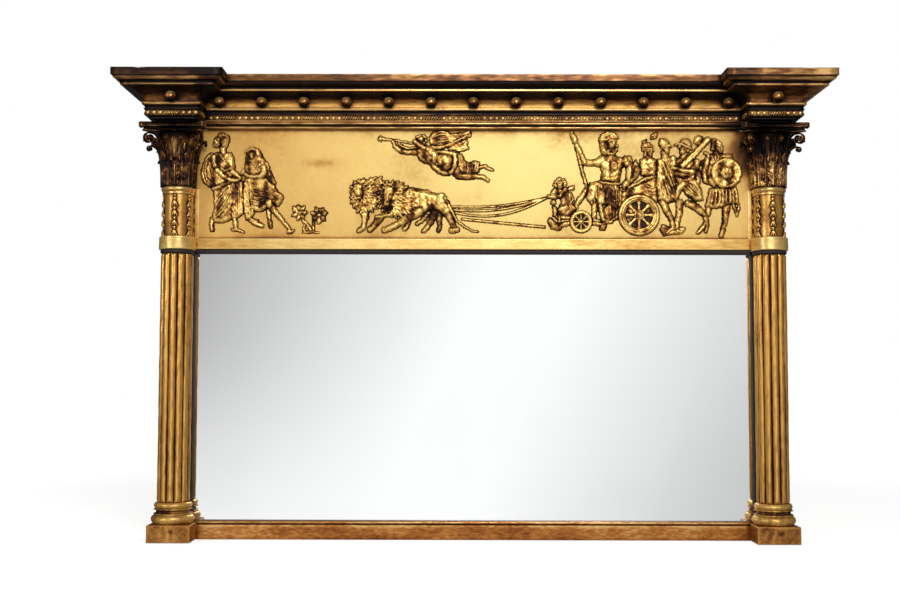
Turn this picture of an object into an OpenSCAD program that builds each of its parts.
// Overmantel mirror: a wide gilt frame that stands on a mantel shelf and fastens to the wall.
// Two engaged, reeded columns on plinths carry a break-front cornice with balls in its cove.
// Between the capitals lies a frieze panel with cast reliefs, and below it the mirror glass.
// X runs along the shelf, -Y is the front, Z is up. Depths are measured from the wall plane.

/* [Overall] */
// Height from the undersides of the plinths to the cornice top
mirror_h = 930; // [900:5:980]
// Distance between the axes of the two columns
col_spacing = 1202; // [1150:2:1300]

/* [Carcass] */
// Thickness of the stiles and rails, from the wall to their front faces
frame_t = 30; // [28:1:34]
// Width of each stile
stile_w = 65; // [62:1:68]
// Width of the rebate that holds the glass
rebate_w = 10; // [8:1:12]
// Depth of the rebate, from the wall to the lip
rebate_d = 22; // [20:1:24]
// Height of the bottom rail
bottom_rail_h = 37; // [34:1:42]
// Depth of the moulded facing on the bottom rail
facing_t = 5; // [4:0.5:8]
// Radius of the rounded top edge of that facing
facing_round = 4.5; // [3:0.5:4.5]
// Height of the flat band under the frieze
band_h = 22; // [20:1:26]
// Thickness of that band
band_t = 8; // [6:1:9]
// Height of the ebonised bead under the band
bead_h = 8.5; // [7:0.5:10]
// Width of the ebonised slips beside the glass
slip_w = 6; // [4:0.5:8]

/* [Glass] */
// Thickness of the mirror glass
glass_t = 4; // [3:0.5:5]
// Clearance between the glass and its rebate, each way
glass_clear = 2; // [1:0.5:3]
// Thickness of the back boards
board_t = 8; // [6:1:8]
// Distance of the back boards from the wall plane
board_inset = 2; // [1:0.5:3]
// Number of back boards
board_count = 3; // [2:1:5]
// Length of a glazing block
block_len = 60; // [40:5:90]

/* [Frieze] */
// Height of the frieze panel
frieze_h = 225; // [215:1:235]
// Thickness of the frieze panel
panel_t = 16; // [10:1:18]
// Width of the flat strips at the ends of the panel
strip_w = 8; // [6:1:10]
// Thickness of those strips
strip_t = 3; // [2:0.5:5]
// Greatest height of the reliefs above the panel
relief_t = 12; // [9:0.5:14]
// Radius of the large chariot wheel
wheel_r = 41; // [36:1:42]
// Radius of the small chariot wheel
small_wheel_r = 23; // [18:1:24]
// Number of spokes in each wheel
spokes = 8; // [6:1:10]
// Clear height over the highest figure
head_room = 2.5; // [1:0.5:6]
// Distance from a column's axis to the nearest figure
side_room = 42; // [40:1:50]

/* [Cornice] */
// Depth of the base face of the middle part, from the wall
center_d = 62; // [56:1:66]
// Depth of the base face of the end blocks, from the wall
block_d = 114; // [108:1:120]
// Half width of an end block at its base face
block_half = 53; // [50:1:56]
// Projection of the cornice beyond its base face
cornice_proj = 56; // [52:1:60]
// Thickness of the dust board on top
dust_board_t = 10; // [8:1:12]
// Height of the top fascia
fascia_h = 14.5; // [12:0.5:18]
// Height of the ovolo under the fascia
ovolo_h = 7; // [5:0.5:9]
// Height of the cavetto under the ovolo
cavetto_h = 6; // [4:0.5:8]
// Height of the fillet above the cove
fillet_h = 3.5; // [2.5:0.5:5]
// Height of the cove
cove_h = 25; // [22:1:28]
// Width of the cove
cove_w = 38; // [34:1:40]
// Height of the bullnose under the cove
nose_h = 8; // [6:0.5:10]
// Height of the strip that carries the beading
strip_h = 11.5; // [10:0.5:14]
// Radius of a ball in the cove
ball_r = 11.5; // [9:0.5:12]
// Number of balls in the cove of the middle part
ball_count = 13; // [9:2:15]
// Distance between those balls
ball_pitch = 85.8; // [70:0.2:86]

/* [Beading] */
// Radius of a bead
bead_r = 5; // [3.5:0.25:5.5]
// Distance between beads
bead_pitch = 13; // [11:0.5:14]
// Length of a reel between two groups of three beads
reel_len = 32; // [20:1:36]
// Length of the repeat
bead_repeat = 83; // [80:1:96]

/* [Columns] */
// Depth of a column's axis, from the wall
col_d = 50; // [46:1:52]
// Radius of the shaft over its reeds
shaft_r = 33; // [30:0.5:34]
// Number of reeds round a whole shaft
reeds = 12; // [10:2:16]
// Depth of the groove between two reeds
groove_d = 5.5; // [4:0.5:6.5]
// Side of the square plinth
plinth_w = 86; // [84:1:90]
// Height of the plinth
plinth_h = 34.5; // [30:0.5:38]
// Height of the lower torus
lower_torus_h = 18.5; // [16:0.5:20]
// Height of the scotia between its fillets
scotia_h = 12; // [10:0.5:14]
// Height of the upper torus
upper_torus_h = 12; // [10:0.5:14]
// Height of the ebonised ring on top of the shaft
ring_h = 8; // [6:0.5:10]
// Radius of the ebonised ring
ring_r = 34; // [32:0.5:36]
// Radius of the gilt collar
collar_r = 36.5; // [35:0.5:38]
// Height of the gilt collar
collar_h = 26; // [22:1:30]
// Radius of the neck
neck_r = 31.5; // [29:0.5:33]
// Height of the astragal under the capital
astragal_h = 15.5; // [12:0.5:18]
// Radius of the astragal
astragal_r = 35; // [34:0.5:37]

/* [Capitals] */
// Height of a capital with its abacus
capital_h = 123; // [115:1:130]
// Thickness of the abacus's upper step
abacus_h = 9; // [7:0.5:12]
// Thickness of the abacus's lower step
abacus_low_h = 8; // [6:0.5:10]
// Reach of the abacus horns from the axis, along the diagonal
horn_reach = 91; // [86:1:94]
// Thickness of a leaf at its foot
leaf_t = 4; // [3:0.5:5]
// Height of the low leaves round the bell
low_leaf_h = 58; // [50:1:62]
// Height of the tall leaves between the volutes
high_leaf_h = 100; // [90:1:104]
// Radius of a volute
volute_r = 12; // [10:0.5:13]
// Width of a volute across its scroll
volute_w = 12; // [8:0.5:13]

/* [Hangers] */
// Height of the hangers' pivots
hanger_z = 690; // [600:10:760]
// Radius of the ring's wire
wire_r = 1.5; // [1.25:0.25:2]
// Half width of the ring between wire centres
ring_half = 14; // [12:0.5:18]
// Length of the ring from its pivot to the lowest wire centre
ring_len = 50; // [46:1:60]
// Half width of the strap
strap_half = 8; // [6:0.5:9]
// Length of the strap below the pivot
strap_len = 38; // [30:1:38]
// Thickness of the strap
strap_t = 1.5; // [1:0.25:2]
// Outer radius of the strap's knuckle
knuckle_r = 3.5; // [3.25:0.25:4]
// Clearance between the ring's bar and the knuckle
pivot_clear = 0.25; // [0.2:0.05:0.4]

/* [Hidden] */
$fn = 48;

col_x = col_spacing / 2;
contact = 0.05;

// Axes of the chariot wheels: right of the middle, above the foot of the panel
big_wheel = [336, 50];
small_wheel = [215, 31];

// Cornice stations, measured downwards from the top
fascia_to = fascia_h;
ovolo_to = fascia_to + ovolo_h;
cavetto_to = ovolo_to + cavetto_h;
crown_to = cavetto_to + fillet_h;
cove_to = crown_to + cove_h;
nose_to = cove_to + nose_h;
neck_gap = 5;
bed_fillet = 3.5;
bed_step = 6;
step_edge = 1;
strip_from = nose_to + neck_gap + bed_fillet;
strip_to = strip_from + strip_h;
first_fillet_to = strip_to + bed_fillet + step_edge;
second_fillet_to = first_fillet_to + 2 * step_edge + bed_fillet;
bed_to = second_fillet_to + 2 * step_edge;
quirk = 3;
cove_foot = 3;
bed_hollow = 3.5;
bed_lap = 1.5;
waist_p = cove_foot + 0.5;
strip_p = 1;
bed_foot_step = 4;
fillet_proj = cove_foot + cove_w;
cornice_d = block_d + cornice_proj;

// Heights, measured upwards from the shelf
cornice_z = mirror_h - bed_to;
frieze_z = cornice_z - frieze_h;
band_z = frieze_z - band_h;
bead_z = band_z - bead_h;
base_z = plinth_h;
shaft_z = base_z + lower_torus_h + scotia_h + upper_torus_h;
collar_z = frieze_z - collar_h;
shaft_top = collar_z - ring_h;
capital_z = cornice_z - capital_h;
astragal_z = capital_z - astragal_h;
abacus_z = cornice_z - abacus_h - abacus_low_h;

// Widths, measured from the middle; the columns overhang the stiles' inner edges a little
stile_tuck = 4;
stile_in = col_x - shaft_r + stile_tuck;
stile_out = stile_in + stile_w;
sight_half = stile_in - slip_w;
glass_half = stile_in + rebate_w - glass_clear;
plinth_in = col_x - plinth_w / 2;

// The wall plane lies behind the middle of the overall depth, hangers included
knuckle_d = 2 * knuckle_r;
wall_y = (cornice_d - knuckle_d) / 2;

gilt = "goldenrod";
bronze = "#7a5a26";
ebony = "#1b1816";
pine = "burlywood";

// ---------- helpers ----------

// A box given by its limits: x, depth from the wall and height
module slab(x, d, z) {
    translate([x[0], wall_y - d[1], z[0]]) cube([x[1] - x[0], d[1] - d[0], z[1] - z[0]]);
}

// A profile of [depth, height] points, run along X
module run_x(x, profile) {
    translate([x[0], 0, 0]) rotate([90, 0, 90]) linear_extrude(x[1] - x[0])
        polygon([for (p = profile) [wall_y - p[0], p[1]]]);
}

// A profile of [x, height] points, run forwards from the wall
module run_y(d, profile) {
    translate([0, wall_y - d[0], 0]) rotate([90, 0, 0]) linear_extrude(d[1] - d[0])
        polygon(profile);
}

module both_sides() {
    for (side = [-1, 1]) scale([side, 1, 1]) children();
}

// Points on an ellipse round a center, from angle a to angle b
function arc(center, radii, a, b, steps = 8) = [for (i = [0 : steps])
    let (t = a + (b - a) * i / steps) [center[0] + radii[0] * cos(t), center[1] + radii[1] * sin(t)]];

// ---------- carcass ----------

module stile(side) {
    color(pine) difference() {
        slab(side > 0 ? [stile_in, stile_out] : [-stile_out, -stile_in], [0, frame_t], [0, cornice_z]);
        slab([-stile_in - rebate_w, stile_in + rebate_w], [-1, rebate_d],
             [bottom_rail_h - rebate_w, band_z + rebate_w]);
    }
}

module bottom_rail() {
    color(pine) difference() {
        slab([-stile_in, stile_in], [0, frame_t], [0, bottom_rail_h]);
        slab([-mirror_h, mirror_h], [-1, rebate_d], [bottom_rail_h - rebate_w, mirror_h]);
    }
}

// A flat face with a rounded lip along its top edge and a quirk under the lip
module bottom_facing() {
    lip = 8;
    quirk_edge = 1;
    front = frame_t + facing_t;
    color(gilt) run_x([-plinth_in, plinth_in], concat(
        [[frame_t, 0], [front, 0], [front, bottom_rail_h - lip - quirk_edge],
         [front - quirk_edge, bottom_rail_h - lip]],
        arc([front - facing_round, bottom_rail_h - facing_round], [facing_round, facing_round], 0, 90),
        [[frame_t, bottom_rail_h]]));
}

module frieze_rail() {
    color(pine) difference() {
        slab([-stile_in, stile_in], [0, frame_t], [band_z, frieze_z]);
        slab([-mirror_h, mirror_h], [-1, rebate_d], [0, band_z + rebate_w]);
    }
}

// Cuts an end hollow so that it fits against a round piece of a column
module scribe(radius) {
    both_sides() translate([col_x, wall_y - col_d, 0]) cylinder(r = radius + contact, h = mirror_h);
}

// The band's ends are scribed to the round collars
module frieze_band() {
    color(gilt) difference() {
        slab([-col_x, col_x], [frame_t, frame_t + band_t], [band_z, frieze_z]);
        scribe(collar_r);
    }
}

module ebonised_bead() {
    nose = bead_h / 2;
    color(ebony) difference() {
        run_x([-stile_in, stile_in], concat(
            [[rebate_d + contact, bead_z], [frame_t, bead_z]],
            arc([frame_t, bead_z + nose], [nose, nose], -90, 90),
            [[rebate_d + contact, band_z]]));
        scribe(collar_r);
    }
}

module glass_slips() {
    color(ebony) both_sides()
        slab([sight_half, stile_in], [rebate_d + contact, frame_t], [bottom_rail_h, bead_z]);
}

module mirror_glass() {
    color("lightsteelblue") slab([-glass_half, glass_half], [rebate_d - glass_t, rebate_d],
        [bottom_rail_h - rebate_w + glass_clear, band_z + rebate_w - glass_clear]);
}

// Short blocks that hold the glass against the lips of its rebate
module glass_blocks() {
    depth = [board_inset + board_t, rebate_d - glass_t];
    inner = glass_half - rebate_w;
    low = bottom_rail_h - rebate_w + glass_clear;
    high = band_z + rebate_w - glass_clear;
    places = 5;
    color(pine) {
        for (i = [0 : places - 1]) {
            x = (i - (places - 1) / 2) * 2 * inner / places - block_len / 2;
            slab([x, x + block_len], depth, [low, low + rebate_w]);
            slab([x, x + block_len], depth, [high - rebate_w, high]);
        }
        both_sides() for (part = [1 / 4, 3 / 4]) {
            z = low + (high - low) * part;
            slab([inner, glass_half], depth, [z, z + block_len]);
        }
    }
}

// Thin vertical boards that close the back
module back_boards() {
    gap = 1;
    pitch = 2 * glass_half / board_count;
    color(pine) for (i = [0 : board_count - 1])
        slab([-glass_half + i * pitch + gap / 2, -glass_half + (i + 1) * pitch - gap / 2],
             [board_inset, board_inset + board_t],
             [bottom_rail_h - rebate_w + glass_clear, band_z + rebate_w - glass_clear]);
}

// The rail behind the frieze panel's head, up to the dust board
module head_rail() {
    half = col_x - block_half;
    color(pine) difference() {
        slab([-half, half], [0, frame_t], [cornice_z, mirror_h - dust_board_t]);
        both_sides() for (band = [crown_profile(back_p), cove_profile(back_p), bed_profile(back_p)])
            block_sides(band, 2 * cornice_d);
    }
}

// ---------- frieze ----------

module frieze_panel() {
    color(gilt) slab([-stile_in, stile_in], [frame_t - panel_t, frame_t], [frieze_z, cornice_z]);
}

// Flat strips over the ends of the panel; they clear the astragals
module frieze_strips() {
    astragal_chord = sqrt(pow(astragal_r, 2) - pow(col_d - frame_t - strip_t, 2));
    outer = col_x - astragal_chord - contact;
    color(gilt) both_sides() slab([outer - strip_w, outer], [frame_t, frame_t + strip_t],
                                 [frieze_z, capital_z]);
}

// Moves a drawing of [x, height above the panel's foot] to the panel and gives it a height
module relief(height) {
    translate([0, wall_y - frame_t, frieze_z]) rotate([90, 0, 0]) linear_extrude(height) children();
}

// The outline of two circles and their tangents, each circle given as [x, z, radius]
function limb_outline(a, b, steps = 5) =
    let (way = [b[0] - a[0], b[1] - a[1]], along = atan2(way[1], way[0]),
         open = acos((a[2] - b[2]) / norm(way)))
    concat(arc(a, [a[2], a[2]], along + open, along + 360 - open, steps),
           arc(b, [b[2], b[2]], along - open, along + open, steps));

// The figure that reaches furthest sideways and the spear that reaches highest, as circles of
// [right of the middle, above the panel's foot, radius]
mantle = [[-531, 165, 10], [-546, 130, 13], [-537, 92, 9]];
spear = [[202, 218, 4.5], [206, 205, 4], [230, 100, 3]];

function reach(circles, axis) = max([for (c = circles) abs(c[axis]) + c[2]]);

// The drawn figures grow with the panel, up to the columns' room and the headroom
grow_x = (col_x - side_room) / reach(mantle, 0);
grow_z = (frieze_h - head_room) / reach(spear, 1);
grow = min(grow_x, grow_z);

function placed(point) = [point[0] * grow_x, point[1] * grow_z];
function sized(circle) = concat(placed(circle), circle[2] * grow);

// A chain of limbs through circles
module limb(circles) {
    for (i = [0 : len(circles) - 2])
        polygon(limb_outline(sized(circles[i]), sized(circles[i + 1])));
}

// Rounds the inner corners where limbs meet
module blend(radius = 2 * grow) {
    offset(r = -radius) offset(r = radius) children();
}

// A relief in two steps, the upper one drawn in from the outline of the lower
module stepped_relief(height, draw_in = 2.5) {
    relief(height * 0.55) blend() children();
    relief(height) offset(r = -draw_in * grow) children();
}

// Trims the first shape round the outlines of the reliefs that it passes behind
module cut_to_fit(radius = 2 * grow) {
    difference() {
        blend(radius) children(0);
        for (i = [1 : $children - 1]) offset(delta = contact) blend() children(i);
    }
}

// A standing figure in a mantle and a veiled figure that strides, hand in hand
module draped_pair() {
    color(gilt) {
        stepped_relief(relief_t * 0.6) {
            limb(mantle);
            limb([[-424, 140, 9], [-402, 108, 5]]);
            limb([[-430, 95, 17], [-440, 45, 15], [-412, 17, 5]]);
            limb([[-531, 34, 7], [-531, 15, 5]]);
            limb([[-484, 34, 7], [-480, 16, 5], [-466, 13, 4]]);
            limb([[-405, 82, 10], [-371, 20, 6], [-360, 13, 4]]);
        }
        stepped_relief(relief_t) {
            limb([[-513, 197, 14], [-513, 189, 12]]);
            limb([[-514, 168, 14], [-514, 118, 18], [-514, 50, 20]]);
            limb([[-514, 110, 18], [-482, 42, 14]]);
            limb([[-499, 166, 9], [-494, 128, 8], [-474, 117, 6]]);
            limb([[-451, 172, 13], [-447, 160, 14], [-436, 135, 16], [-428, 104, 18]]);
            limb([[-446, 140, 9], [-472, 120, 6]]);
            limb([[-426, 100, 16], [-390, 82, 11]]);
        }
    }
}

// A small plant with two leafy heads on crossing stems
module plant() {
    leaf_ring = 7;
    color(gilt) {
        relief(relief_t * 0.35) blend(grow) {
            limb([[-348, 40, 2.5], [-334, 24, 2.5], [-322, 10, 4]]);
            limb([[-316, 36, 2.5], [-326, 24, 2.5], [-336, 10, 4]]);
        }
        for (head = [[-350, 48], [-311, 45]]) relief(relief_t * 0.55) blend(0.8 * grow)
            for (i = [0 : leaf_ring - 1]) {
                a = 90 + i * 360 / leaf_ring;
                limb([[head[0], head[1], 5], [head[0] + 9 * cos(a), head[1] + 9 * sin(a), 4]]);
            }
    }
}

// Two harnessed lions side by side, the near one in full
module lions() {
    color(gilt) {
        stepped_relief(relief_t * 0.6) lions_back();
        stepped_relief(relief_t) lions_front();
    }
}

module lions_back() {
    limb([[-229, 92, 22], [-230, 62, 17], [-230, 20, 8], [-236, 14, 6]]);
    limb([[-205, 50, 12], [-206, 18, 8]]);
    limb([[-135, 45, 12], [-133, 18, 7]]);
    limb([[-84, 40, 10], [-102, 18, 7]]);
    limb([[-62, 55, 11], [-70, 18, 7]]);
    limb([[-56, 82, 4], [-36, 62, 3], [-22, 34, 3], [2, 15, 3]]);
}

module lions_front() {
    limb([[-178, 78, 25], [-158, 82, 27], [-120, 76, 21], [-82, 70, 19], [-62, 66, 18]]);
    limb([[-58, 66, 17], [-52, 40, 9], [-42, 16, 8]]);
    limb([[-150, 60, 16], [-118, 52, 13], [-150, 36, 9], [-180, 17, 8]]);
    limb([[-190, 62, 13], [-194, 52, 9]]);
}

// Reins and pole between the lions and the driver
module reins() {
    cord = 1.8;
    cord_t = 3;
    start = [[-43, 67], [-39, 60], [-37, 54]];
    sag = [3, 5, 12];
    hand = [152, 86];
    steps = 8;
    color(gilt) relief(cord_t) cut_to_fit(2 * grow_z) {
        union() {
            for (k = [0 : len(start) - 1]) limb([for (i = [0 : steps]) let (t = i / steps)
                [start[k][0] + (hand[0] - start[k][0]) * t,
                 start[k][1] + (hand[1] - start[k][1]) * t * t - sag[k] * sin(180 * t), cord]]);
            limb([[-20, 39, 2.2], [146, 25, 2.2]]);
        }
        lions_back();
        lions_front();
        driver_back();
        driver_front();
    }
}

// A winged figure in flight, blowing a long trumpet
module trumpeter() {
    color(gilt) {
        stepped_relief(relief_t * 0.5, 1) {
            limb([[-96, 192, 6], [-60, 205, 8], [-6, 212, 6]]);
            limb([[-92, 188, 6], [-50, 192, 7], [-8, 184, 6]]);
            limb([[-46, 150, 13], [-8, 138, 9], [10, 128, 4]]);
            limb([[-188, 199, 4.5], [-178, 198, 2.2], [-120, 195, 2]]);
            limb([[-112, 172, 6], [-140, 176, 4.5], [-160, 192, 4]]);
        }
        stepped_relief(relief_t * 0.85) {
            limb([[-102, 201, 10], [-103, 194, 8]]);
            limb([[-102, 182, 9], [-92, 170, 12], [-72, 160, 12], [-54, 152, 16], [-20, 147, 9], [22, 138, 5],
                  [38, 137, 4]]);
            limb([[-30, 144, 9], [6, 128, 6], [28, 118, 5]]);
            limb([[-104, 184, 6], [-130, 196, 4.5], [-158, 196, 4]]);
        }
    }
}

// A small winged driver who sits on the front of the chariot
module driver() {
    color(gilt) {
        stepped_relief(relief_t * 0.6) driver_back();
        stepped_relief(relief_t * 0.85) driver_front();
    }
}

module driver_back() {
    limb([[186, 96, 9], [202, 103, 6]]);
    limb([[164, 48, 13], [158, 30, 13], [176, 22, 7]]);
}

module driver_front() {
    limb([[176, 112, 12], [178, 108, 11]]);
    limb([[178, 92, 12], [184, 74, 15], [176, 56, 12], [158, 56, 8]]);
    limb([[174, 90, 7], [154, 87, 5]]);
}

// A bearded warrior in a cap who sits in the chariot and holds a spear
module warrior() {
    color(gilt) {
        stepped_relief(relief_t * 0.5, 1) warrior_back();
        stepped_relief(relief_t) warrior_front();
    }
}

module warrior_back() {
    limb(spear);
    limb([[306, 156, 11], [316, 130, 8], [308, 104, 7]]);
}

module warrior_front() {
    limb([[273, 206, 18], [274, 196, 18], [272, 182, 13]]);
    limb([[268, 152, 17], [288, 152, 17]]);
    limb([[280, 148, 24], [286, 112, 24]]);
    limb([[258, 160, 11], [228, 155, 8], [212, 187, 6]]);
    limb([[286, 98, 22], [252, 92, 18]]);
    limb([[252, 88, 17], [248, 52, 12], [248, 24, 8]]);
    limb([[282, 86, 18], [272, 50, 13], [268, 22, 8]]);
}

// A spoked wheel with a raised rim and a turned hub
module wheel(center, radius) {
    rim = radius * 0.26;
    hub = radius * 0.2;
    spoke_t = 3;
    at = placed(center);
    color(gilt) translate([at[0], wall_y - frame_t, frieze_z + at[1]]) rotate([90, 0, 0]) {
        rotate_extrude() translate([radius - rim, 0])
            polygon(concat([[0, 0], [rim, 0]], arc([rim / 2, spoke_t], [rim / 2, spoke_t], 0, 180)));
        cylinder(r1 = hub, r2 = hub * 0.6, h = relief_t * 0.65);
        for (i = [0 : spokes - 1]) rotate(i * 360 / spokes + 180 / spokes)
            translate([hub * 0.6, -radius * 0.05, 0]) cube([radius - rim / 2 - hub * 0.6, radius * 0.1, spoke_t]);
    }
}

module chariot() {
    color(gilt) relief(relief_t * 0.35) cut_to_fit() {
        union() {
            limb([[306, 112, 6], [366, 86, 8]]);
            limb([[306, 100, 18], [362, 78, 14]]);
            limb([[290, 66, 10], [236, 40, 8], [216, 31, 8]]);
            limb([[290, 48, 8], [236, 30, 5]]);
            limb([[286, 92, 10], [292, 46, 9]]);
            limb([[208, 50, 6], [236, 96, 6]]);
        }
        warrior_back();
        warrior_front();
        soldiers_back();
        soldiers_front();
        driver_back();
        driver_front();
        translate(placed(big_wheel)) circle(r = wheel_r - contact);
        translate(placed(small_wheel)) circle(r = small_wheel_r - contact);
    }
    wheel(big_wheel, wheel_r);
    wheel(small_wheel, small_wheel_r);
}

// Four helmeted soldiers on foot, one with a rod on the shoulder and one with a round shield
module soldiers() {
    shield = placed([520, 138]);
    color(gilt) {
        stepped_relief(relief_t * 0.55, 2) beside_wheel() soldiers_back();
        stepped_relief(relief_t) beside_wheel() soldiers_front();
        translate([shield[0], wall_y - frame_t, frieze_z + shield[1]]) rotate([90, 0, 0]) {
            cylinder(r = 30 * grow, h = relief_t * 0.9);
            cylinder(r1 = 9 * grow, r2 = 4 * grow, h = relief_t * 1.15);
        }
    }
}

// Trims a figure round the large wheel that stands in front of it
module beside_wheel() {
    cut_to_fit() {
        children();
        translate(placed(big_wheel)) circle(r = wheel_r / cos(180 / $fn));
    }
}

module soldiers_back() {
    limb([[391, 188, 12], [392, 182, 11]]);
    limb([[392, 165, 12], [398, 130, 14]]);
    limb([[463, 204, 8], [466, 196, 8]]);
    limb([[360, 204, 5], [372, 214, 5]]);
    limb([[420, 92, 10], [452, 66, 8], [476, 54, 7], [466, 20, 6]]);
    limb([[396, 84, 10], [418, 54, 8], [414, 18, 6]]);
    limb([[535, 92, 5], [531, 56, 3]]);
    limb([[492, 92, 10], [484, 60, 8]]);
}

module soldiers_front() {
    limb([[354, 186, 12], [355, 179, 11]]);
    limb([[352, 160, 12], [362, 158, 13], [364, 118, 16], [372, 92, 17]]);
    limb([[376, 88, 11], [390, 54, 8], [386, 16, 6]]);
    limb([[372, 160, 7], [388, 128, 7], [402, 106, 5]]);
    limb([[429, 191, 12], [430, 184, 11]]);
    limb([[436, 164, 14], [446, 150, 16], [444, 108, 17], [434, 88, 17]]);
    limb([[432, 84, 12], [446, 50, 8], [450, 16, 6]]);
    limb([[421, 152, 5], [479, 204, 6]]);
    limb([[452, 150, 8], [430, 134, 6], [412, 140, 5]]);
    limb([[500, 194, 12], [501, 187, 11]]);
    limb([[504, 164, 15], [510, 120, 18], [510, 84, 22]]);
    limb([[508, 70, 11], [508, 40, 8], [503, 14, 6]]);
}

// ---------- cornice ----------

// Each profile is a list of [projection beyond the base face, distance below the top]
back_p = frame_t - center_d;

function crown_profile(inner) =
    let (ovolo_out = cornice_proj - quirk, ovolo_in = ovolo_out - ovolo_h * 0.7)
    concat([[inner, 0], [cornice_proj, 0], [cornice_proj, fascia_to], [ovolo_out, fascia_to]],
           arc([ovolo_in, fascia_to], [ovolo_out - ovolo_in, ovolo_h], 0, 90),
           arc([ovolo_in, cavetto_to], [ovolo_in - fillet_proj, -cavetto_h], 90, 180),
           [[fillet_proj, cavetto_to], [fillet_proj, crown_to], [inner, crown_to]]);

function cove_profile(inner) =
    concat([[inner, crown_to]],
           arc([fillet_proj, cove_to], [-cove_w, -cove_h], 90, 0, 10),
           [[inner, cove_to]]);

function bed_profile(inner) =
    let (waist = nose_to + neck_gap)
    concat([[inner, cove_to]],
           arc([cove_foot, cove_to + nose_h / 2], [nose_h / 2, nose_h / 2], -90, 60),
           arc([waist_p + bed_lap, waist], [-bed_hollow, -neck_gap], 60, 0, 4),
           [[waist_p, waist], [waist_p, strip_from - step_edge], [strip_p, strip_from],
            [strip_p, strip_to], [-bed_step, strip_to + step_edge], [-bed_step, first_fillet_to],
            [-2 * bed_step, first_fillet_to + step_edge],
            [-3 * bed_step, first_fillet_to + 2 * step_edge], [-3 * bed_step, second_fillet_to],
            [-3 * bed_step - bed_foot_step, bed_to], [inner, bed_to]]);

// The middle part of a band stops against the returns of the end blocks
module center_band(profile) {
    difference() {
        run_x([-col_x, col_x], [for (p = profile) [center_d + p[0], mirror_h - p[1]]]);
        both_sides() block_sides(profile, 2 * cornice_d);
    }
}

// The profile on both sides of an end block, run forwards
module block_sides(profile, depth) {
    run_y([-1, depth], concat(
        [for (p = profile) if (p[0] > back_p) [col_x + block_half + p[0], mirror_h - p[1]]],
        [for (i = [len(profile) - 1 : -1 : 0]) let (p = profile[i])
            if (p[0] > back_p) [col_x - block_half - p[0], mirror_h - p[1]]]));
}

// An end block: the sides and the front share one profile, mitred at the corners
module block_band(profile, side) {
    scale([side, 1, 1]) intersection() {
        block_sides(profile, 2 * cornice_d);
        run_x([0, 2 * col_x], concat([[0, mirror_h - profile[0][1]]],
            [for (p = profile) if (p[0] > back_p) [block_d + p[0], mirror_h - p[1]]],
            [[0, mirror_h - profile[len(profile) - 1][1]]]));
    }
}

module cornice_band(profile, side) {
    if (side == 0) center_band(profile);
    else block_band(profile, side);
}

// Ball centers: in the cove, clear of the bullnose
ball_p = 17.5;
ball_rise = 6.5;
ball_drop = cove_to - ball_rise;
ball_places = concat(
    [for (i = [0 : ball_count - 1]) [(i - (ball_count - 1) / 2) * ball_pitch, center_d + ball_p]],
    [for (side = [-1, 1]) [side * col_x, block_d + ball_p]]);

module balls(radius) {
    for (b = ball_places) translate([b[0], wall_y - b[1], mirror_h - ball_drop]) sphere(r = radius);
}

// The middle crown carries the dust board, which runs back to the wall
module crown(side) {
    reach = col_x - block_half - cornice_proj;
    color(bronze) {
        cornice_band(crown_profile(back_p), side);
        if (side == 0) slab([-reach, reach], [0, center_d], [mirror_h - dust_board_t, mirror_h]);
    }
}

// Shallow seats in the cove hold the balls
module cove(side) {
    color(gilt) difference() {
        cornice_band(cove_profile(back_p), side);
        balls(ball_r + contact);
    }
}

module bed(side) {
    color(bronze) cornice_band(bed_profile(back_p), side);
}

module cornice_balls() {
    color(gilt) balls(ball_r);
}

// Beads in threes between reels, on a thin backing, centered on the run and cut flat behind
module bead_row(length) {
    backing = 1;
    reel_r = bead_r * 0.85;
    turns = ceil(length / bead_repeat);
    bead_at = [for (k = [-turns : turns], j = [-1 : 1]) (k + 0.5) * bead_repeat + j * bead_pitch];
    reel_at = [for (k = [-turns : turns]) k * bead_repeat];
    intersection() {
        union() {
            translate([-length / 2, -backing, -bead_r]) cube([length, backing, 2 * bead_r]);
            for (x = bead_at) if (abs(x) + bead_r < length / 2)
                translate([x, -backing / 2, 0]) sphere(r = bead_r);
            for (x = reel_at) if (abs(x) + reel_len / 2 < length / 2)
                translate([x - reel_len / 2, -backing / 2, 0]) rotate([0, 90, 0])
                    cylinder(r = reel_r, h = reel_len);
        }
        translate([-length, -2 * bead_r, -2 * bead_r]) cube([2 * length, 2 * bead_r, 4 * bead_r]);
    }
}

bead_z_mid = mirror_h - (strip_from + strip_to) / 2;
bead_face = strip_p + contact;

module beading_center() {
    length = 2 * (col_x - block_half - bead_face) - 2 * bead_r;
    color(gilt) translate([0, wall_y - center_d - bead_face, bead_z_mid]) bead_row(length);
}

// The row goes round the outer side, the front and the inner side of an end block
module beading_block(side) {
    reach = block_half + bead_face;
    inner_run = block_d - center_d - 2 * bead_r;
    color(gilt) scale([side, 1, 1]) translate([col_x, wall_y, bead_z_mid]) {
        translate([0, -block_d - bead_face, 0]) bead_row(2 * reach);
        translate([reach, -block_d / 2, 0]) rotate([0, 0, 90]) bead_row(block_d);
        translate([-reach, -block_d + inner_run / 2, 0]) rotate([0, 0, -90]) bead_row(inner_run);
    }
}

// ---------- columns ----------

// Places a turned piece on a column's axis and cuts it flat where it meets the stile
module engaged(side) {
    reach = 2 * horn_reach;
    intersection() {
        translate([side * col_x, wall_y - col_d, 0]) children();
        translate([side * col_x - reach, wall_y - frame_t - 2 * reach, 0])
            cube([2 * reach, 2 * reach, mirror_h]);
    }
}

module plinth(side) {
    color(gilt) slab([side * col_x - plinth_w / 2, side * col_x + plinth_w / 2],
                     [frame_t, col_d + plinth_w / 2], [0, plinth_h]);
}

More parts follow.
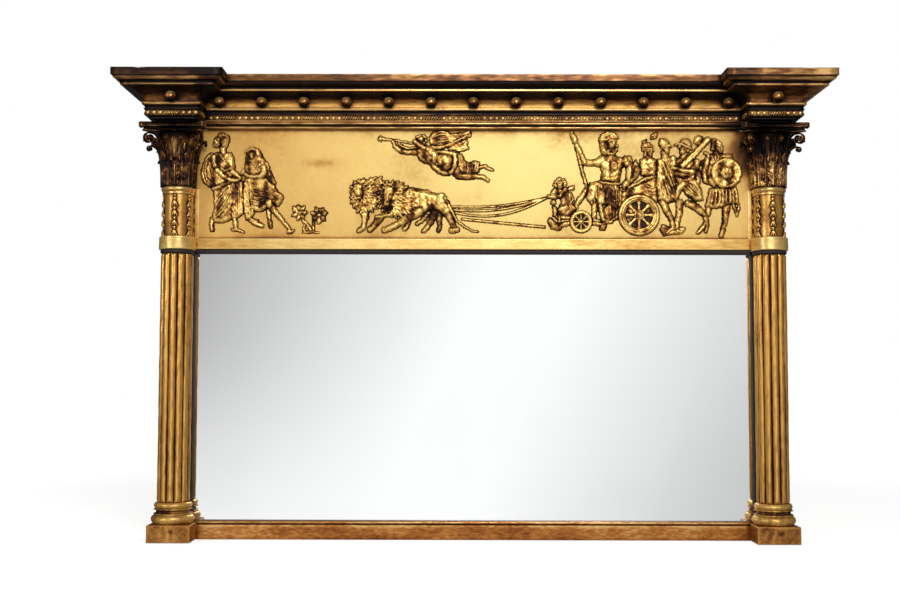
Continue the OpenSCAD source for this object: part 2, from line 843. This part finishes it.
// Attic base: lower torus, scotia between fillets, upper torus
module base(side) {
    torus_lip = 4.5;
    low = lower_torus_h / 2;
    up = upper_torus_h / 2;
    low_out = plinth_w / 2;
    up_out = shaft_r + torus_lip;
    scotia_z = base_z + lower_torus_h;
    up_z = scotia_z + scotia_h;
    fillet = 2;
    fillet_step = 1;
    scotia_w = 5;
    color(gilt) engaged(side) rotate_extrude() polygon(concat(
        [[0, base_z]],
        arc([low_out - low, base_z + low], [low, low], -90, 90),
        [[up_out + fillet_step, scotia_z], [up_out + fillet_step, scotia_z + fillet]],
        arc([up_out + fillet_step, scotia_z + scotia_h / 2], [-scotia_w, -scotia_h / 2 + fillet], 90, -90),
        [[up_out - fillet_step, up_z - fillet], [up_out - fillet_step, up_z]],
        arc([up_out - up, up_z + up], [up, up], -90, 90),
        [[0, shaft_z]]));
}

// The shaft's reeds end in rounded shoulders under the ring and over the base
module shaft(side) {
    reed_r = shaft_r * sin(180 / reeds) * 0.84;
    shoulder = groove_d + 1;
    shoulder_r = shaft_r + 2 * contact;
    color(gilt) engaged(side) intersection() {
        translate([0, 0, shaft_z]) linear_extrude(shaft_top - shaft_z) union() {
            circle(r = shaft_r - groove_d);
            for (i = [0 : reeds - 1]) rotate(i * 360 / reeds - 90)
                translate([shaft_r - reed_r, 0]) circle(r = reed_r);
        }
        rotate_extrude() polygon(concat(
            [[0, shaft_z]],
            arc([shoulder_r - shoulder, shaft_z + shoulder], [shoulder, shoulder], -90, 0, 5),
            arc([shoulder_r - shoulder, shaft_top - shoulder], [shoulder, shoulder], 0, 90, 5),
            [[0, shaft_top]]));
    }
}

module ring(side) {
    color(ebony) engaged(side) rotate_extrude() polygon(concat(
        [[0, shaft_top]],
        arc([ring_r - ring_h / 2, shaft_top + ring_h / 2], [ring_h / 2, ring_h / 2], -90, 90),
        [[0, collar_z]]));
}

// A chain of three bell flowers that hang down the neck from a small ball
module husk_chain() {
    flowers = 3;
    flower_r = 5;
    stem_r = 1.6;
    gap = 0.5;
    seat = 1;
    ball = 2.8;
    pitch = (astragal_z - frieze_z - 3 * ball) / flowers;
    translate([0, seat - neck_r, frieze_z]) {
        for (i = [0 : flowers - 1]) translate([0, 0, i * pitch + 2 * gap])
            cylinder(r1 = flower_r, r2 = stem_r, h = pitch - gap);
        translate([0, 0, flowers * pitch + 1.2 * ball]) sphere(r = ball);
    }
}

// Collar, neck with husk chains, and the astragal on top
module neck(side) {
    chains = 6;
    edge = 1;
    fillet_in = 2;
    round_r = astragal_h * 0.35;
    fillet = astragal_h - 2 * round_r;
    color(bronze) engaged(side) {
        rotate_extrude() polygon(concat(
            [[0, collar_z], [collar_r - edge, collar_z], [collar_r, collar_z + edge],
             [collar_r, frieze_z - edge], [collar_r - edge, frieze_z], [neck_r, frieze_z],
             [neck_r, astragal_z], [astragal_r - fillet_in, astragal_z],
             [astragal_r - fillet_in, astragal_z + fillet]],
            arc([astragal_r - round_r, capital_z - round_r], [round_r, round_r], -90, 90),
            [[0, capital_z]]));
        for (i = [-1 : 1]) rotate(i * 360 / chains) husk_chain();
    }
}

// ---------- capitals ----------

bell_swell = 3;
bell_flare = 13;
bell_foot = neck_r;
bell_mid = bell_foot + bell_swell;
bell_lip = bell_foot + bell_flare;

// Radius of the bell at a share of its height
function bell_r(t) = bell_foot + (bell_mid - bell_foot) * t + (bell_lip - bell_mid) * pow(t, 4);

module bell(side) {
    height = abacus_z - capital_z;
    steps = 12;
    color(bronze) engaged(side) rotate_extrude() polygon(concat(
        [[0, capital_z]],
        [for (i = [0 : steps]) [bell_r(i / steps), capital_z + height * i / steps]],
        [[0, abacus_z]]));
}

// A leaf follows the bell and curls outwards at its tip; a lobed outline trims it
module leaf(height, width, turn, curl) {
    bell_h = abacus_z - capital_z;
    steps = 8;
    seat = contact;
    inner = [for (i = [0 : steps]) let (t = i / steps)
        [bell_r(height * t / bell_h) + seat + curl * pow(t, 5), capital_z + height * t]];
    outer = [for (i = [steps : -1 : 0]) let (t = i / steps)
        [bell_r(height * t / bell_h) + leaf_t + curl * pow(t, 3), capital_z + height * t]];
    spread = 80;
    rotate(turn) intersection() {
        rotate([0, 0, -90 - spread / 2]) rotate_extrude(angle = spread) polygon(concat(inner, outer));
        translate([0, 0, capital_z]) rotate([90, 0, 0]) linear_extrude(3 * bell_lip)
            leaf_outline(height, width);
    }
}

// Half outline of a leaf with three lobes a side, mirrored
module leaf_outline(height, width) {
    lobes = 3;
    half = [for (i = [0 : lobes * 4]) let (t = i / (lobes * 4))
        [width / 2 * (1 - 0.75 * pow(t, 3)) * (0.86 + 0.14 * cos(t * lobes * 360)), height * t]];
    polygon(concat(half, [for (i = [len(half) - 1 : -1 : 0]) [-half[i][0], half[i][1]]]));
}

module leaves(side) {
    ring_of = 8;
    low_w = 0.76 * bell_foot;
    high_w = 0.42 * bell_foot;
    low_curl = 7;
    high_curl = 9;
    color(bronze) engaged(side) {
        for (i = [-2 : 2]) leaf(low_leaf_h, low_w, i * 360 / ring_of, low_curl);
        for (turn = [-90, 0, 90]) leaf(high_leaf_h, high_w, turn, high_curl);
    }
}

// A spiral scroll on a stalk, drawn in its own plane: [distance from the axis, height]
module volute(side_turn) {
    horn_gap = 8;
    root_out = 7;
    stalk = 5;
    stalk_out = 3;
    stalk_drop = 2;
    eye_r = 3;
    turns = 1.5;
    band = 4;
    steps = 30;
    eye = [horn_reach - volute_r - horn_gap, abacus_z - volute_r - contact];
    root = [bell_mid + root_out, capital_z + low_leaf_h + contact];
    eye_foot = [root[0] + stalk + stalk_out, eye[1] - 2 * eye_r];
    spiral = [for (i = [0 : steps]) let (t = i / steps)
        [t * turns * 360 + 90, volute_r * (1 - 0.72 * t)]];
    rotate(side_turn) translate([0, volute_w / 2, 0]) rotate([90, 0, 0])
        linear_extrude(volute_w) union() {
            polygon(concat(
                [for (s = spiral) eye + s[1] * [cos(s[0]), sin(s[0])]],
                [for (i = [steps : -1 : 0]) let (s = spiral[i])
                    eye + max(s[1] - band * (1 - 0.5 * i / steps), 0.5) * [cos(s[0]), sin(s[0])]]));
            translate(eye) circle(r = eye_r);
            polygon([root, root + [stalk, 0], eye_foot, [eye[0] - 2 * eye_r, eye[1] + volute_r - band],
                     [eye[0], eye[1] + volute_r - band], [eye[0], eye[1] + volute_r],
                     [eye[0] - 2 * band, eye[1] + volute_r], [root[0] + stalk_out, eye[1] - stalk_drop]]);
        }
}

module volutes(side) {
    color(bronze) engaged(side) for (turn = [-45, -135]) volute(turn);
}

// One step of the abacus: concave sides between cut horns
module abacus_step(reach, waist, height) {
    horn_w = 12;
    half = (reach + horn_w / 2) * cos(45);
    chord = (reach - horn_w / 2) * cos(45);
    sag = half - waist;
    hollow_r = (chord * chord + sag * sag) / (2 * sag);
    linear_extrude(height) difference() {
        rotate(45) square(2 * reach, center = true);
        for (a = [0 : 90 : 270]) rotate(a) translate([waist + hollow_r, 0]) circle(r = hollow_r);
    }
}

module abacus(side) {
    draw_in = 8;
    waist_in = 2;
    color(bronze) engaged(side) translate([0, 0, abacus_z]) {
        abacus_step(horn_reach - draw_in, bell_lip - waist_in, abacus_low_h);
        translate([0, 0, abacus_low_h]) abacus_step(horn_reach, bell_lip, abacus_h);
    }
}

// ---------- hangers on the back ----------

// A screwed strap whose rolled knuckle holds the ring's bar
module hanger(side) {
    knuckle_half = strap_half - 1;
    hole_r = 2;
    hole_shares = [0.4, 0.8];
    color("peru") translate([side * col_x, wall_y, hanger_z]) difference() {
        union() {
            translate([-strap_half, 0, -strap_len]) cube([2 * strap_half, strap_t, strap_len - knuckle_r + 1]);
            translate([-knuckle_half, 0, -knuckle_r]) cube([2 * knuckle_half, strap_t, knuckle_r]);
            translate([-knuckle_half, knuckle_r, 0]) rotate([0, 90, 0])
                cylinder(r = knuckle_r, h = 2 * knuckle_half);
        }
        translate([-strap_half - 1, knuckle_r, 0]) rotate([0, 90, 0])
            cylinder(r = wire_r + pivot_clear, h = 2 * strap_half + 2);
        for (z = hole_shares) translate([0, -1, -strap_len * z]) rotate([-90, 0, 0])
            cylinder(r = hole_r, h = 2 * strap_t + 2);
    }
}

// A D-shaped wire ring that hangs from its straight bar
module hanger_ring(side) {
    leg = ring_len - ring_half;
    bend_r = wire_r + 0.15;
    color("peru") translate([side * col_x, wall_y + knuckle_r, hanger_z]) {
        translate([-ring_half, 0, 0]) rotate([0, 90, 0]) cylinder(r = wire_r, h = 2 * ring_half);
        for (x = [-ring_half, ring_half]) translate([x, 0, 0]) {
            sphere(r = bend_r);
            translate([0, 0, -leg]) cylinder(r = wire_r, h = leg);
        }
        translate([0, 0, -leg]) rotate([90, 0, 0]) rotate([0, 0, 180])
            rotate_extrude(angle = 180) translate([ring_half, 0]) circle(r = wire_r);
    }
}

stile(-1);  // stile_left
stile(1);  // stile_right
bottom_rail();
bottom_facing();
frieze_rail();
frieze_band();
ebonised_bead();
glass_slips();
mirror_glass();
glass_blocks();
back_boards();
head_rail();
frieze_panel();
frieze_strips();
crown(-1);  // crown_left
crown(0);  // crown_center
crown(1);  // crown_right
cove(-1);  // cove_left
cove(0);  // cove_center
cove(1);  // cove_right
bed(-1);  // bed_left
bed(0);  // bed_center
bed(1);  // bed_right
beading_block(-1);  // beading_left
beading_center();
beading_block(1);  // beading_right
cornice_balls();
plinth(-1);  // plinth_left
plinth(1);  // plinth_right
base(-1);  // base_left
base(1);  // base_right
shaft(-1);  // shaft_left
shaft(1);  // shaft_right
ring(-1);  // ring_left
ring(1);  // ring_right
neck(-1);  // neck_left
neck(1);  // neck_right
bell(-1);  // bell_left
bell(1);  // bell_right
leaves(-1);  // leaves_left
leaves(1);  // leaves_right
volutes(-1);  // volutes_left
volutes(1);  // volutes_right
abacus(-1);  // abacus_left
abacus(1);  // abacus_right
draped_pair();
plant();
lions();
reins();
trumpeter();
driver();
warrior();
chariot();
soldiers();
hanger(-1);  // hanger_left
hanger(1);  // hanger_right
hanger_ring(-1);  // hanger_ring_left
hanger_ring(1);  // hanger_ring_right
